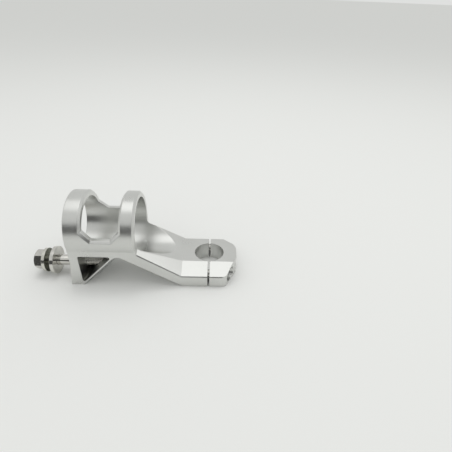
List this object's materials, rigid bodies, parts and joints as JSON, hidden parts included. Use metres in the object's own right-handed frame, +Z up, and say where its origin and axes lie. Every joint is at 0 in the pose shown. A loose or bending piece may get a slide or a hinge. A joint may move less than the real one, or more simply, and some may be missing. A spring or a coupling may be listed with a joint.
{
  "type": "handlebar riser",
  "caption": "Machined handlebar riser: a windowed fork ring, a bolted lug under it, and a sloping arm that ends in a split handlebar clamp.",
  "frame": {"origin": "on the fork ring's axis, at the ring's free end", "axes": "+X along the ring from its free end to the handlebar clamp, +Z up as it lies on its foot and clamp, +Y away from the side with the pocket and the wide bevel"},
  "size_m": [0.1496, 0.05, 0.063],
  "materials": {
    "satin_aluminium": "bead-blasted satin silver",
    "screw_steel": "bright steel",
    "zinc_steel": "bright zinc plate"
  },
  "bodies": {
    "root": {"riser_body": "satin_aluminium", "clamp_cap": "satin_aluminium", "clamp_screws": "screw_steel", "mounting_bolt": "zinc_steel", "spring_washer": "zinc_steel", "flat_washer": "zinc_steel"}
  },
  "joints": []
}
